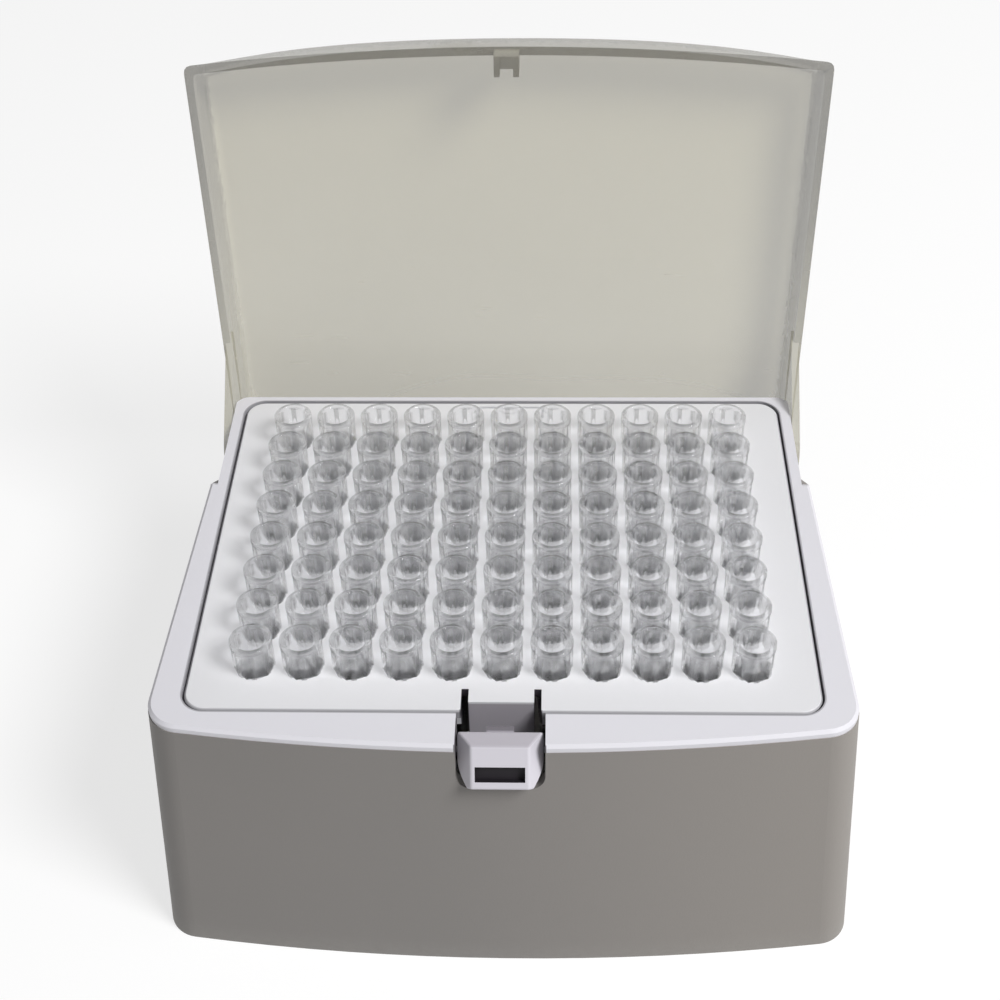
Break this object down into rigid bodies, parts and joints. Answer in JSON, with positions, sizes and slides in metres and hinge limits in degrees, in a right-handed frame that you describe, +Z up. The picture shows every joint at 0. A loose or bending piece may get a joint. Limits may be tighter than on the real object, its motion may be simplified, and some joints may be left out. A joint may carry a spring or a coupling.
{
  "type": "box of pipette tips",
  "caption": "Hinged pipette tip box standing open: tapered grey base, white deck with a grid of clear tips, shallow lid on side pivots and a push latch at the front.",
  "frame": {"origin": "centre of the flat underside, below the middle of the box's width", "axes": "+Z up, +X to the right seen from the latch, +Y from the latch towards the hinge"},
  "size_m": [0.1346, 0.1241, 0.1352],
  "materials": {
    "grey_shell": "fine matt texture",
    "white_deck": "satin",
    "white_tray": "satin",
    "frosted_lid": "translucent, slightly smoky",
    "white_latch": "smooth moulded",
    "clear_tip": "clear moulded"
  },
  "bodies": {
    "base": {"base_shell": "grey_shell", "deck_frame": "white_deck", "tip_tray": "white_tray", "tip_column_01": "clear_tip", "tip_column_02": "clear_tip", "tip_column_03": "clear_tip", "tip_column_04": "clear_tip", "tip_column_05": "clear_tip", "tip_column_06": "clear_tip", "tip_column_07": "clear_tip", "tip_column_08": "clear_tip", "tip_column_09": "clear_tip", "tip_column_10": "clear_tip", "tip_column_11": "clear_tip"},
    "lid": {"lid": "frosted_lid"},
    "latch": {"latch": "white_latch"}
  },
  "joints": [
    {"name": "lid_hinge", "type": "hinge", "parent": "base", "child": "lid", "pos_m": [0, 0.0397, 0.052], "axis": [1, 0, 0], "range_deg": [0, 98]},
    {"name": "latch_pivot", "type": "hinge", "parent": "base", "child": "latch", "pos_m": [0, -0.0452, 0.0545], "axis": [1, 0, 0], "range_deg": [0, 12], "stiffness_Nm_per_rad": 0.05, "springref_deg": -11.46}
  ]
}
